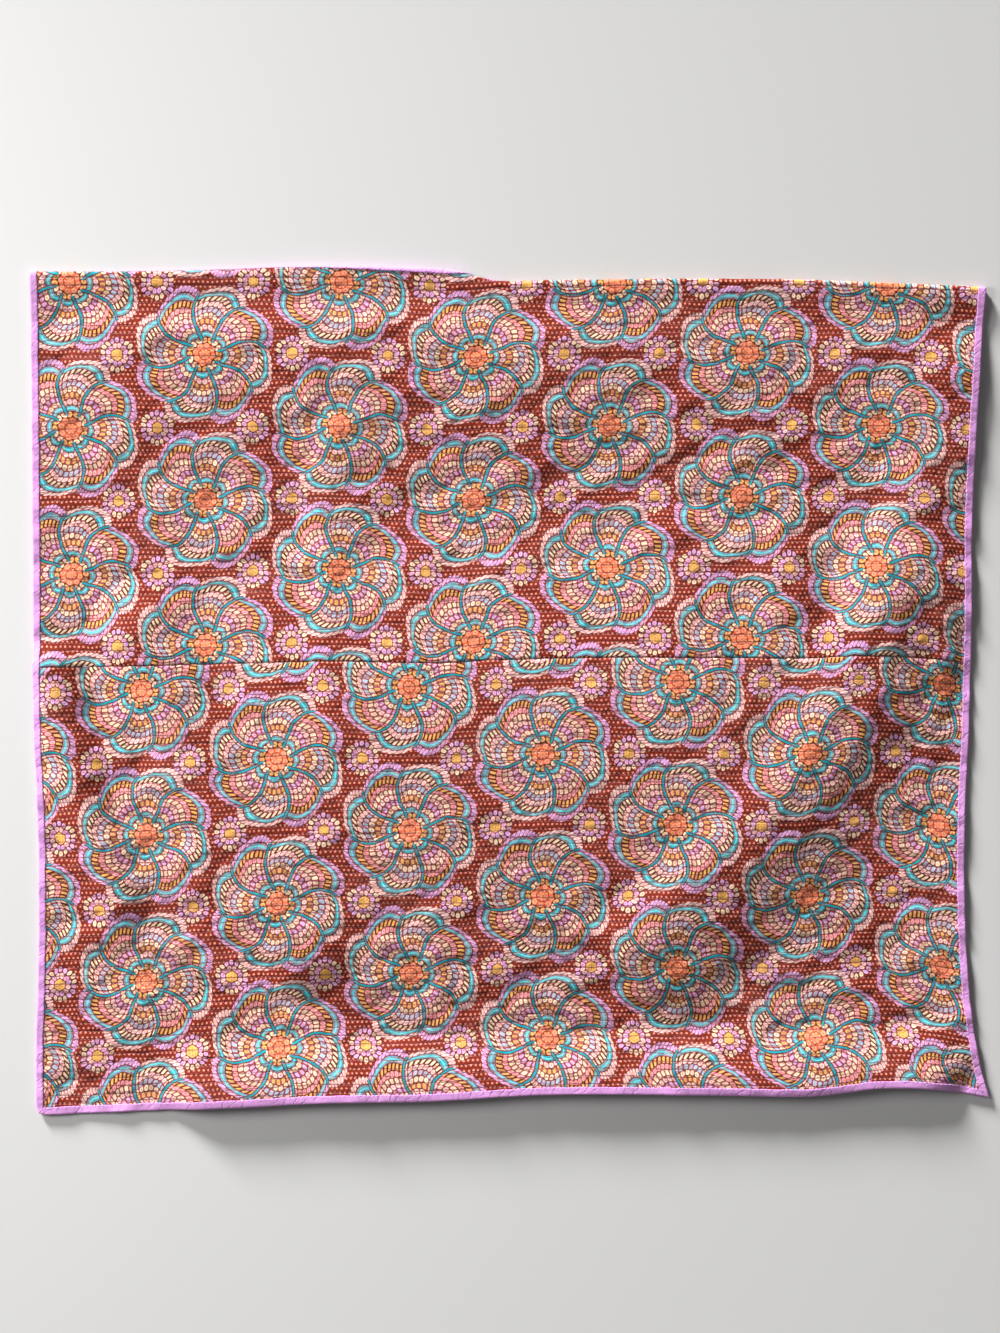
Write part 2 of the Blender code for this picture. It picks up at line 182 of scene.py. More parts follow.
# Smaller creases between the folds, measured in the same way
CREASES = {
    "below right swag": Fold((0.980, 0.230), (0.870, -0.120), (0.660, -0.430), 0.005, 0.045, 0.030),
    "beside right swag": Fold((0.930, 0.200), (0.760, -0.130), (0.560, -0.500), 0.004, 0.030, 0.040),
    "right edge": Fold((1.080, 0.230), (1.090, 0.060), (1.050, -0.130), 0.005, 0.040, 0.040),
    "upper right": Fold((0.930, 0.860), (0.990, 0.720), (0.950, 0.560), 0.004, 0.035, 0.040),
    "short pair one": Fold((0.520, 0.250), (0.500, 0.030), (0.440, -0.130), 0.005, 0.030, 0.045),
    "short pair two": Fold((0.630, 0.080), (0.600, -0.030), (0.560, -0.090), 0.004, 0.025, 0.025),
    "seam pinch": Fold((0.190, 0.100), (0.215, 0.010), (0.255, -0.040), 0.005, 0.022, 0.026),
    "middle left": Fold((-0.690, 0.500), (-0.620, 0.380), (-0.520, 0.320), 0.006, 0.035, 0.040),
    "middle long": Fold((-0.455, 0.350), (-0.470, 0.080), (-0.430, -0.150), 0.004, 0.030, 0.050),
    "left bow": Fold((-1.060, 0.130), (-0.985, -0.020), (-0.960, -0.150), 0.006, 0.040, 0.045),
    "left swag twin": Fold((-0.905, -0.200), (-0.800, -0.340), (-0.770, -0.470), 0.006, 0.035, 0.045),
    "left foot": Fold((-1.090, -0.620), (-0.980, -0.610), (-0.830, -0.650), 0.005, 0.040, 0.045),
    "low wave one": Fold((-0.660, -0.530), (-0.550, -0.590), (-0.450, -0.630), 0.004, 0.030, 0.040),
    "low wave two": Fold((-0.320, -0.640), (-0.220, -0.660), (-0.170, -0.740), 0.006, 0.035, 0.035),
    "low wave three": Fold((-0.080, -0.290), (0.070, -0.350), (0.220, -0.460), 0.004, 0.050, 0.050),
    "low wave four": Fold((0.110, -0.560), (0.260, -0.620), (0.390, -0.590), 0.004, 0.035, 0.045),
    "upper left": Fold((-0.920, 0.860), (-0.840, 0.910), (-0.700, 0.800), 0.004, 0.035, 0.035),
    "upper middle": Fold((-0.560, 0.870), (-0.500, 0.800), (-0.520, 0.690), 0.005, 0.035, 0.035),
    "top line": Fold((0.020, 0.960), (0.230, 0.940), (0.480, 0.970), 0.004, 0.025, 0.030),
    "hem rise": Fold((-0.600, -0.900), (-0.450, -0.960), (-0.400, -1.040), 0.005, 0.045, 0.045),
    "hem rise two": Fold((0.360, -0.880), (0.420, -0.960), (0.400, -1.020), 0.004, 0.035, 0.035),
}

# Unevenness between the stitches: each wave's length across and down, slant and height. The
# slant counts less down the cloth than across it, and the waves bend as they cross.
Wave = namedtuple("Wave", "across down slant height")
SLANT_DOWN = 0.3
SLANT_ACROSS = 0.2
WAVE_BEND = 1.7
WAVES = (
    Wave(0.310, 0.210, 0.6, 0.0018),
    Wave(0.173, 0.127, -1.1, 0.0012),
    Wave(0.097, 0.083, 0.9, 0.0008),
)
PUCKERS = (
    Wave(0.0460, 0.200, 2.1, 0.00058),
    Wave(0.0310, 0.130, -1.7, 0.00046),
    Wave(0.0235, 0.170, 1.3, 0.00034),
)

# The quilted face: how round its ridges are, how high they may rise, how far the puckers of one
# row lie beside those of the next, how much of them stays in the row itself, and how soon the
# face rises beside the binding
RIDGE_ROUNDNESS = 0.75
RIDGE_LIMIT = 0.0012
PUCKER_SHIFT = 0.11
PUCKER_IN_ROW = 0.35
FACE_RISE = 0.006

# Rows of stitches wander a little, as hand work does: length across and down, and the way
WANDER = (Wave(0.370, 0.90, 0.0, 0.0012), Wave(0.131, 0.31, 0.0, 0.0006))

# A blunt corner: how far the tip draws in, and how far from the corner that starts
CORNER_DRAW = 0.0065
CORNER_REACH = 0.030
CORNER_POWER = 1.5

# Grid of the panels' face, and how many of its cells make one cell of the back
ROW_CELLS = 5
FACE_ROW = ROW_PITCH / ROW_CELLS
TURN_ZONE = 0.080
TURN_ROW = 0.0025
FACE_COLUMNS = 316
BACK_CELLS = 4
EDGE_HALF = 0.0012

# Grid of the bindings
BINDING_STEP = 0.004
MITRE_SHARE = 0.030
FLAP_LINES = (0.0200, 0.0170, 0.0120, 0.0075)
ROUND_STEPS = 8

# Uneven ripples along a binding: the turn per metre, the height, and how the turn strays. The
# puckers lift its cloth by up to PUFF, and its inner line wanders from WANDER_START inwards.
Ripple = namedtuple("Ripple", "turn height stray stray_turn")
PUFF = 0.0005
STRIP_PUCKERS = (
    Ripple(2 * np.pi / 0.0173, 1.0, 1.9, 41.0),
    Ripple(2 * np.pi / 0.0101, 0.6, 2.3, 67.0),
)
LINE_WANDER = (Ripple(93.0, 0.0006, 1.3, 31.0),)
WANDER_START = 0.015

# Hand stitches that hold the binding down, and the narrow folds between them
WHIP_PITCH = 0.0105
FOLD_LINE_PITCH = 0.0260

# Space for the texture map of each panel: the face, then the back, with a free line between
BACK_MAP = 0.12
MAP_GAP = 0.004

NORMAL_REACH = 0.0005

# Strength of the light from around, at the horizon and overhead, and the heights between which
# it fades from the one to the other
HORIZON_LIGHT = 0.75
OVERHEAD_LIGHT = 0.13
FADE_START = 0.02
FADE_END = 0.30

# A low key light from the upper left, and a weaker wide one above the left side
KEY_DIRECTION = (5.8, -9.75, -2.65)
KEY_ANGLE = 0.22
KEY_STRENGTH = 10.0
FILL_PLACE = (-3.8, 1.0, 3.2)
FILL_AIM = (-0.5, 0.2, 0.0)
FILL_SIZE = 2.4
FILL_POWER = 177.0

# The camera's lens and sensor in millimetres, and the middle and height of the floor in view
LENS = 70.0
SENSOR = 36.0
VIEW_MIDDLE = (-0.0251, 0.0603)
VIEW_HEIGHT = 3.350

# Half the floor's side, and the corners of a square
FLOOR_REACH = 9.0
SQUARE = ((-1, -1), (1, -1), (1, 1), (-1, 1))

# Colours, as linear red, green and blue
RUST = (0.185, 0.023, 0.013)
DEEP_RUST = (0.120, 0.018, 0.013)
DUSTY_PINK = (0.716, 0.262, 0.188)
ORANGE = (0.730, 0.140, 0.065)
LIGHT_ORANGE = (0.860, 0.320, 0.160)
OCHRE = (0.753, 0.402, 0.102)
CREAM = (0.800, 0.655, 0.440)
TEAL = (0.005, 0.285, 0.360)
DEEP_TEAL = (0.020, 0.090, 0.130)
PALE_TEAL = (0.120, 0.590, 0.620)
SLATE = (0.127, 0.262, 0.380)
PALE_BLUE = (0.352, 0.500, 0.650)
LILAC = (0.640, 0.380, 0.700)
ROSE = (0.440, 0.061, 0.088)
PLUM = (0.305, 0.070, 0.076)
PINK = (0.800, 0.320, 0.340)
PALE_PINK = (0.810, 0.560, 0.520)
FADED = (0.600, 0.400, 0.370)
BINDING_LILAC = (0.560, 0.240, 0.560)
BINDING_PALE = (0.660, 0.330, 0.650)
BINDING_STITCH = (0.300, 0.095, 0.300)
BACK_LILAC = (0.560, 0.330, 0.560)
BACK_PALE = (0.640, 0.430, 0.640)
STITCH_ROSE = (0.500, 0.200, 0.210)
STITCH_PALE = (0.800, 0.660, 0.700)
FLOOR_PALE = (0.560, 0.555, 0.545)

# Bands of a flower from its heart outwards: the marks on its even and its odd petals, the cloth
# between them and their length along the band. Fullness 1 draws round beads with an eye and 0
# draws bars. A line of 1 runs a thin pale line along the middle of the band.
Band = namedtuple("Band", "mark odd_mark ground length fullness line")
BLOOM = (
    Band(LIGHT_ORANGE, LIGHT_ORANGE, ORANGE, 0.34, 1.0, 0.0),
    Band(LIGHT_ORANGE, LIGHT_ORANGE, ORANGE, 0.34, 1.0, 0.0),
    Band(OCHRE, CREAM, DEEP_RUST, 0.42, 1.0, 0.0),
    Band(TEAL, TEAL, DEEP_TEAL, 0.46, 0.0, 1.0),
    Band(PALE_PINK, CREAM, PLUM, 0.43, 1.0, 0.0),
    Band(OCHRE, LILAC, PLUM, 0.30, 0.4, 0.0),
    Band(CREAM, PALE_PINK, PLUM, 0.40, 0.9, 0.0),
    Band(PALE_BLUE, CREAM, PLUM, 0.34, 0.3, 0.0),
    Band(PALE_PINK, PINK, PLUM, 0.42, 0.9, 0.0),
    Band(CREAM, OCHRE, DEEP_RUST, 0.28, 0.3, 0.0),
    Band(TEAL, SLATE, DEEP_TEAL, 0.46, 0.0, 1.0),
    Band(PALE_PINK, LILAC, PLUM, 0.42, 0.9, 0.0),
)
ROSETTE = (
    Band(OCHRE, OCHRE, OCHRE, 0.30, 1.0, 0.0),
    Band(PALE_PINK, LILAC, PLUM, 0.42, 1.0, 0.0),
    Band(LILAC, CREAM, DEEP_RUST, 0.38, 0.8, 0.0),
)
BAND_WIDTH = 0.0143
MARK_PITCH = 0.0116
BLOOM_PETALS = 8
ROSETTE_PETALS = 6
ROSETTE_ASIDE = 0.121
PETAL_BOW = 0.14
PETAL_SWIRL = 0.42
STEM_START = 2.5
REPEAT_ACROSS = 0.342
REPEAT_DOWN = 0.368
DOT_PITCH = 0.0118
HAND_STRAY = 0.010

# Each panel is cut from its own place in the print
Shift = namedtuple("Shift", "across down")
UPPER_SHIFT = Shift(0.071, 0.130)
LOWER_SHIFT = Shift(0.233, 0.018)

# Where a shape ends, and how soft its edge is. In the print these are shares of a band, a mark or
# the space of a dot, apart from the stems in metres. In the stitching they are metres, apart from
# the dash and the whip, which are shares of their pitch.
Edge = namedtuple("Edge", "limit softness")
MARK_EDGE = Edge(1.0, 0.25)
EYE_EDGE = Edge(0.10, 0.07)
LINE_EDGE = Edge(0.12, 0.05)
BAND_EDGE = Edge(0.43, 0.03)
DOT_EDGE = Edge(0.055, 0.02)
STEM_EDGE = Edge(0.0025, 0.0008)
STEM_OUTLINE_EDGE = Edge(0.0054, 0.0014)
THREAD_EDGE = Edge(0.0008, 0.0003)
RAISED_THREAD_EDGE = Edge(0.0007, 0.0003)
HOLLOW_EDGE = Edge(0.0016, 0.0012)
GATHERED_EDGE = Edge(0.0045, 0.0040)
ROW_SHADE_EDGE = Edge(0.0024, 0.0020)
BACK_ROW_EDGE = Edge(0.0080, 0.0070)
DASH_EDGE = Edge(0.27, 0.04)
WHIP_EDGE = Edge(0.11, 0.05)
WHIP_REACH_EDGE = Edge(0.0045, 0.0006)
FOLD_LINE_EDGE = Edge(-0.86, 0.14)
FOLD_PATCH_EDGE = Edge(0.50, 0.12)
FLOWER_SOFTNESS = 0.06
STEM_ENDS_SOFTNESS = 0.1
STEM_END = 0.4
MARK_HALF_WIDTH = 0.44

# How strongly marks vary, an eye shows in a bead and a thread shows on the cloth
MARK_VARIETY = 0.40
EYE_STRENGTH = 0.7
THREAD_STRENGTH = 0.8

# Scattered values for marks and rows, from a sine of large steps
SCATTER_ALONG = 12.9898
SCATTER_ACROSS = 78.233
SCATTER_SPREAD = 43.7
DASH_SPREAD = 7.3
STITCH_PITCH = 0.0096
WEAVE_PITCH = 0.00072

# Cloudy noises: the size of their spots across and down in metres, and their detail
Spots = namedtuple("Spots", "across down detail")
STRAY_ACROSS = Spots(0.050, 0.050, 1.0)
STRAY_DOWN = Spots(0.043, 0.047, 1.0)
FADING = Spots(0.22, 0.17, 3.0)
WEAR = Spots(0.006, 0.009, 2.0)
# Patches of the shade painted beside the rows of stitches
ROW_SHADE_SPOTS = Spots(0.018, 0.020, 2.0)
GATHERS = Spots(0.0085, 0.0160, 2.0)
FINE_CREASES = Spots(0.030, 0.012, 3.0)
PLAIN_FADING = Spots(0.060, 0.045, 4.0)
SLUBS = Spots(0.0100, 0.0008, 2.0)
PLAIN_PUCKERS = Spots(0.0070, 0.0070, 3.0)
FOLD_LINE_STRAY = Spots(0.030, 0.030, 2.0)
FOLD_PATCHES = Spots(0.040, 0.040, 1.0)

# A tint of the cloth, or the shade painted beside the rows of stitches: it starts where a noise
# passes a value, and grows with that strength
Tint = namedtuple("Tint", "start strength")
FADED_TINT = Tint(0.50, 0.20)
WORN_TINT = Tint(0.62, 0.40)
ROW_PAINTED_SHADE = Tint(0.34, 2.4)
SLUB_TINT = Tint(0.35, 0.5)

# Heights in the bump of the print and of the plain cotton, as shares of its full height
CREASE_HEIGHT = 0.8
WEAVE_HEIGHT = 0.03
SLUB_HEIGHT = 0.05
THREAD_HEIGHT = 0.35
BACK_THREAD_HEIGHT = 0.3
HOLLOW_DEPTH = 0.5
GATHER_EVERYWHERE = 0.5
GATHER_AT_ROW = 0.9
PUCKER_HEIGHT = 0.5
BACK_ROW_DEPTH = 0.9
FOLD_LINE_DEPTH = 0.7
WHIP_DEPTH = 0.4

# How dark a plain cotton's slubs are, how deep the shade painted into the binding's fold lines is,
# and how strongly that painted shade shows
SLUB_TONE = 0.72
FOLD_LINE_SHADE_TONE = 0.50
FOLD_LINE_SHADE_STRENGTH = 0.40
FOLD_LINE_TURN = 10.0

# Finish of a cloth: its smoothest and roughest places, sheen, specular and the bump in metres
Finish = namedtuple("Finish", "smoothest roughest sheen specular bump")
PRINT_FINISH = Finish(0.78, 0.95, 0.01, 0.06, 0.0019)
PLAIN_FINISH = Finish(0.78, 0.93, 0.15, 0.25, 0.001)
FLOOR_ROUGHNESS = 0.85
FLOOR_SPECULAR = 0.1


def clear_scene():
    for thing in list(bpy.data.objects):
        bpy.data.objects.remove(thing, do_unlink=True)


def smooth_table(table, share):
    """A smooth curve through a table's rows, read at the given shares."""
    places = np.array([row.share for row in table])
    values = np.array([row.metres for row in table])
    slopes = np.gradient(values, places)
    share = np.clip(share, places[0], places[-1])
    low = np.clip(np.searchsorted(places, share, side="right") - 1, 0, len(places) - 2)
    span = places[low + 1] - places[low]
    t = (share - places[low]) / span
    rise = t * t * (3 - 2 * t)
    start_slope = slopes[low] * span * t * (1 - t) ** 2
    end_slope = slopes[low + 1] * span * t * t * (t - 1)
    return values[low] * (1 - rise) + values[low + 1] * rise + start_slope + end_slope


def ease(t):
    """From 0 to 1 with level ends."""
    t = np.clip(t, 0.0, 1.0)
    return t * t * (3 - 2 * t)


def turned_under(share):
    """The cloth hidden behind the top line, by the share of the width."""
    left = np.maximum(smooth_table(TURNED_LEFT, share), 0.0)
    right = TURNED_RIGHT + (TURNED_RIGHT_END - TURNED_RIGHT) * share
    return left + right * ease((share - STEP_START) / (STEP_END - STEP_START))


def crest_line(fold):
    """Points along a fold's crest, on the curve through its three places."""
    start, middle, end = (np.array(place) for place in (fold.start, fold.middle, fold.end))
    t = np.linspace(0.0, 1.0, CREST_STEPS + 1)[:, None]
    handle = 2 * middle - (start + end) / 2
    return start * (1 - t) ** 2 + handle * 2 * t * (1 - t) + end * t * t


def fold_height(fold, x, y):
    """The height that one fold adds to the cloth, worked out only for the points in its reach."""
    crest = crest_line(fold)
    reach = max(fold.reach_upper_left, fold.reach_lower_right)
    low, high = crest.min(axis=0) - reach, crest.max(axis=0) + reach
    close = (x > low[0]) & (x < high[0]) & (y > low[1]) & (y < high[1])
    height = np.zeros(x.shape)
    height[close] = ridge(fold, crest, x[close], y[close])
    return height


def ridge(fold, crest, x, y):
    """A round ridge along a crest, with round ends."""
    nearest = np.full(x.shape, np.inf)
    reach = np.ones(x.shape)
    mean_reach = (fold.reach_upper_left + fold.reach_lower_right) / 2
    half_difference = (fold.reach_upper_left - fold.reach_lower_right) / 2
    for start, end in zip(crest[:-1], crest[1:]):
        run = end - start
        length = np.hypot(*run)
        along = np.clip(((x - start[0]) * run[0] + (y - start[1]) * run[1]) / length**2, 0, 1)
        away_x = x - start[0] - along * run[0]
        away_y = y - start[1] - along * run[1]
        away = np.hypot(away_x, away_y)
        side = np.array((-run[1], run[0])) / length
        if side[1] < side[0]:
            side = -side
        lean = (away_x * side[0] + away_y * side[1]) / np.maximum(away, 1e-9)
        closer = away < nearest
        nearest = np.where(closer, away, nearest)
        reach = np.where(closer, mean_reach + half_difference * lean, reach)
    rise = (1 + np.cos(np.pi * np.clip(nearest / reach, 0, 1))) / 2
    return fold.height * rise**FOOT


def waves(table, x, y):
    """Uneven ground from crossed waves, from 0 up to twice the sum of their heights."""
    total = np.zeros(x.shape)
    for wave in table:
        across = 2 * np.pi * (x + wave.slant * y * SLANT_DOWN) / wave.across
        down = 2 * np.pi * (y - wave.slant * x * SLANT_ACROSS) / wave.down
        total += wave.height * (1 + np.sin(across + WAVE_BEND * np.sin(down)))
    return total


def folds_height(x, y):
    """Folds as one ridge where they cross, then the creases and the unevenness on top.

    Both grow shallower towards the highest crest, where the cloth is drawn tight.
    """
    folds = np.sqrt(sum(fold_height(fold, x, y) ** 2 for fold in FOLDS.values()))
    creases = np.sqrt(sum(fold_height(crease, x, y) ** 2 for crease in CREASES.values()))
    highest = max(fold.height for fold in FOLDS.values())
    slack = 1 - DRAWN_TIGHT * np.clip(folds / highest, 0, 1)
    return folds + slack * (creases + waves(WAVES, x, y))


def near_edge(distance):
    """1 along the binding, down to 0 where the cover has sunk to the floor."""
    return 1 - ease((distance - BINDING_WIDTH) / (EDGE_SETTLES - BINDING_WIDTH))


def blunt_corner(u, v):
    """The lower left corner drawn in a little, as a turned corner is."""
    from_left = np.clip(1 - u / CORNER_REACH, 0, 1)
    from_bottom = np.clip(1 - (LENGTH - v) / CORNER_REACH, 0, 1)
    return CORNER_DRAW * (from_left * from_bottom) ** CORNER_POWER


def middle_surface(u, v):
    """Where the middle of the quilted layers lies in the world."""
    across = u / WIDTH
    hidden = turned_under(across)
    shown = np.maximum(v - hidden, 0.0)
    down = shown / (LENGTH - hidden)
    turn = np.minimum(hidden / TURN_RADIUS, np.pi)

    left = -HALF_WIDTH + smooth_table(LEFT_EDGE, down)
    right = HALF_WIDTH - smooth_table(RIGHT_EDGE, down)
    overhang = (TURN_RADIUS + OUTER_HALF) * np.sin(np.minimum(turn, np.pi / 2))
    top = HALF_LENGTH - smooth_table(TOP_EDGE, across) - overhang
    bottom = -HALF_LENGTH + smooth_table(BOTTOM_EDGE, across)
    drawn_in = blunt_corner(u, v)
    x = left + (right - left) * across + drawn_in
    y = top + (bottom - top) * down + drawn_in

    sides = (1 - near_edge(u)) * (1 - near_edge(WIDTH - u))
    ends = (1 - near_edge(LENGTH - v)) * (1 - near_edge(shown))
    lift = EDGE_LIFT * (1 - sides * ends)
    stand = TURN_RADIUS * (1 - np.cos(turn)) * (1 - ease(shown / TURN_SETTLES))
    z = THICKNESS / 2 + lift + stand + folds_height(x, y) * ease(shown / FOLDS_START)

    back = np.maximum(hidden - v, 0.0)
    angle = np.minimum(back / TURN_RADIUS, turn)
    run_back = back - angle * TURN_RADIUS
    y = y + TURN_RADIUS * np.sin(angle) + run_back * np.cos(angle)
    z = z - TURN_RADIUS * (1 - np.cos(angle)) - run_back * np.sin(angle)
    return np.stack((x, y, z), axis=-1)


def offset_surface(u, v, n):
    """The point n above the middle surface, square to it."""
    left = np.maximum(u - NORMAL_REACH, 0.0)
    right = np.minimum(u + NORMAL_REACH, WIDTH)
    above = np.maximum(v - NORMAL_REACH, 0.0)
    below = np.minimum(v + NORMAL_REACH, LENGTH)
    across = middle_surface(right, v) - middle_surface(left, v)
    down = middle_surface(u, below) - middle_surface(u, above)
    normal = np.cross(down, across)
    normal /= np.linalg.norm(normal, axis=-1, keepdims=True)
    return middle_surface(u, v) + normal * n[:, None]


def edge_distance(u, v):
    """The distance to the nearest raw edge of the cover."""
    return np.minimum(np.minimum(u, WIDTH - u), np.minimum(v, LENGTH - v))


def wander(u, v):
    """How far the rows of stitches have strayed."""
    return sum(
        wave.height * np.sin(2 * np.pi * (u / wave.across + v / wave.down)) for wave in WANDER
    )


def quilted_face(u, v):
    """Height of a panel's face over the middle surface: plump ridges between rows of stitches."""
    row = (v + wander(u, v) - SEAM) / ROW_PITCH
    rise = np.abs(np.sin(np.pi * row)) ** RIDGE_ROUNDNESS
    gather = waves(PUCKERS, u + PUCKER_SHIFT * np.floor(row), v)
    gather = gather - sum(wave.height for wave in PUCKERS)
    loft = ROW_DEPTH * (rise - 1) + gather * (PUCKER_IN_ROW + (1 - PUCKER_IN_ROW) * rise)
    groove = SEAM_DEPTH * (1 - ease(np.abs(v - SEAM) / SEAM_REACH))
    loft = np.minimum(loft, RIDGE_LIMIT) - groove
    inner = ease((edge_distance(u, v) - BINDING_WIDTH) / FACE_RISE)
    return THICKNESS / 2 + np.where(inner > 0, loft * inner, 0.0)


def raw_edge(u, v, height):
    """The face and the back come closer together under the fold of the binding."""
    share = np.clip((edge_distance(u, v) - PANEL_EDGE) / (OUTER_HALF - PANEL_EDGE), 0, 1)
    return EDGE_HALF + (height - EDGE_HALF) * share


def finished(name, points, faces, cloth, map_places, materials, face_materials):
    """One object from its points and faces, with the cloth's measures and a texture map."""
    mesh = bpy.data.meshes.new(name)
    mesh.from_pydata(points.tolist(), [], faces)
    mesh.update()
    measures = mesh.attributes.new("cloth", "FLOAT_VECTOR", "POINT")
    measures.data.foreach_set("vector", np.asarray(cloth, dtype=np.float32).ravel())
    corners = np.empty(len(mesh.loops), dtype=np.int32)
    mesh.loops.foreach_get("vertex_index", corners)
    layer = mesh.uv_layers.new(name="OFBake")
    layer.data.foreach_set("uv", np.asarray(map_places, dtype=np.float32)[corners].ravel())
    for material in materials:
        mesh.materials.append(material)
    mesh.polygons.foreach_set("material_index", np.asarray(face_materials, dtype=np.int32))
    mesh.polygons.foreach_set("use_smooth", np.ones(len(mesh.polygons), dtype=bool))
    made = bpy.data.objects.new(name, mesh)
    bpy.context.scene.collection.objects.link(made)
    return made


def grid_faces(numbers, flip):
    """Four-sided faces between the points of a grid."""
    a, b = numbers[:-1, :-1].ravel(), numbers[:-1, 1:].ravel()
    c, d = numbers[1:, 1:].ravel(), numbers[1:, :-1].ravel()
    corners = (a, b, c, d) if flip else (a, d, c, b)
    return np.stack(corners, axis=1).tolist()


def wall_faces(fine, coarse, chosen, flip):
    """Triangles between a fine line of points and the chosen ones of its fellows."""
    faces = []
    for number in range(len(coarse) - 1):
        first, last = int(chosen[number]), int(chosen[number + 1])
        for k in range(first, last):
            faces.append((coarse[number], fine[k], fine[k + 1]))
        faces.append((coarse[number], fine[last], coarse[number + 1]))
    return [face[::-1] for face in faces] if flip else faces


def panel_rows(top):
    """The lines across one panel's face."""
    if top:
        turned = np.arange(TURN_ZONE, OUTER_HALF + TURN_ROW, -TURN_ROW)
        quilted = np.arange(SEAM - FACE_ROW, TURN_ZONE + FACE_ROW / 2, -FACE_ROW)
        lines = [SEAM - PLAY / 2, *quilted, *turned, OUTER_HALF, PANEL_EDGE]
    else:
        quilted = np.arange(SEAM + FACE_ROW, LENGTH - OUTER_HALF - FACE_ROW / 2, FACE_ROW)
        lines = [SEAM + PLAY / 2, *quilted, LENGTH - OUTER_HALF, LENGTH - PANEL_EDGE]
    return np.array(sorted(lines))


def every(lines, steps):
    """Numbers of every steps-th line, with the two outermost at each end."""
    last = len(lines) - 1
    return np.array(sorted({*range(0, last, steps), 1, last - 1, last}))


def panel(name, top, materials):
    """One quilted panel: the fine face with its rows and puckers, a plainer back, and its edges."""
    rows = panel_rows(top)
    inner = np.linspace(OUTER_HALF, WIDTH - OUTER_HALF, FACE_COLUMNS + 1)
    columns = np.array([PANEL_EDGE, *inner, WIDTH - PANEL_EDGE])
    back_rows = every(rows, BACK_CELLS)
    back_columns = every(columns, BACK_CELLS)

    face_v, face_u = (part.ravel() for part in np.meshgrid(rows, columns, indexing="ij"))
    back_v, back_u = (
        part.ravel() for part in np.meshgrid(rows[back_rows], columns[back_columns], indexing="ij")
    )
    face_n = raw_edge(face_u, face_v, quilted_face(face_u, face_v))
    back_n = -raw_edge(back_u, back_v, np.full(back_u.shape, THICKNESS / 2))
    points = np.concatenate(
        (offset_surface(face_u, face_v, face_n), offset_surface(back_u, back_v, back_n))
    )

    face_numbers = np.arange(len(face_u)).reshape(len(rows), len(columns))
    back_numbers = len(face_u) + np.arange(len(back_u)).reshape(len(back_rows), len(back_columns))
    faces = grid_faces(face_numbers, flip=False)
    face_count = len(faces)
    faces += grid_faces(back_numbers, flip=True)
    sides = (
        (face_numbers[0], back_numbers[0], back_columns, False),
        (face_numbers[-1], back_numbers[-1], back_columns, True),
        (face_numbers[:, 0], back_numbers[:, 0], back_rows, True),
        (face_numbers[:, -1], back_numbers[:, -1], back_rows, False),
    )
    for fine, coarse, chosen, flip in sides:
        faces += wall_faces(fine.tolist(), coarse.tolist(), chosen, flip)

    height = rows[-1] - rows[0]
    face_map = np.stack(
        (face_u / WIDTH, 1 - (face_v - rows[0]) / height * (1 - BACK_MAP - MAP_GAP)), axis=1
    )
    back_map = np.stack((back_u / WIDTH, (rows[-1] - back_v) / height * BACK_MAP), axis=1)
    cloth = np.concatenate(
        (
            np.stack((face_u, face_v, np.ones(len(face_u))), axis=1),
            np.stack((back_u, back_v, -np.ones(len(back_u))), axis=1),
        )
    )
    kinds = [0] * face_count + [1] * (len(faces) - face_count)
    return finished(
        name, points, faces, cloth, np.concatenate((face_map, back_map)), materials, kinds
    )


def folded_section():
    """Places (distance from the edge, n, puff) around a folded strip, outer side then inner side.

    puff says how much of the binding's puckers reaches that place.
    """
    angles = np.linspace(0, np.pi, ROUND_STEPS + 1)
    lining = OUTER_HALF - BINDING_CLOTH
    outer = [(d, OUTER_HALF, 1.0) for d in FLAP_LINES]
    outer += [
        (OUTER_HALF * (1 - np.sin(angle)), OUTER_HALF * np.cos(angle), np.sin(angle) ** 2)
        for angle in angles
    ]
    outer += [(d, -OUTER_HALF, 0.0) for d in reversed(FLAP_LINES)]
    inner = [(d, -INNER_HALF, 0.0) for d in FLAP_LINES]
    inner += [
        (OUTER_HALF - lining * np.sin(angle), -lining * np.cos(angle), 0.0) for angle in angles
    ]
    inner += [(d, INNER_HALF, 0.0) for d in reversed(FLAP_LINES)]
    return outer + inner


def strip_places(whole, distance, mitred):
    """Places along a strip for a line that lies at a distance from the edge."""
    count = int(round(whole / BINDING_STEP))
    base = np.linspace(0, whole, count + 1)
    start = distance + MITRE_PLAY if mitred else MITRE_PLAY
    near = np.minimum(base, whole - base)
    moved = np.where(near < MITRE_SHARE, start + near * (MITRE_SHARE - start) / MITRE_SHARE, near)
    return np.where(base < whole / 2, moved, whole - moved)


def ripples(table, along):
    """The sum of a table's ripples along a strip."""
    return sum(
        row.height * np.sin(row.turn * along + row.stray * np.sin(row.stray_turn * along))
        for row in table
    )


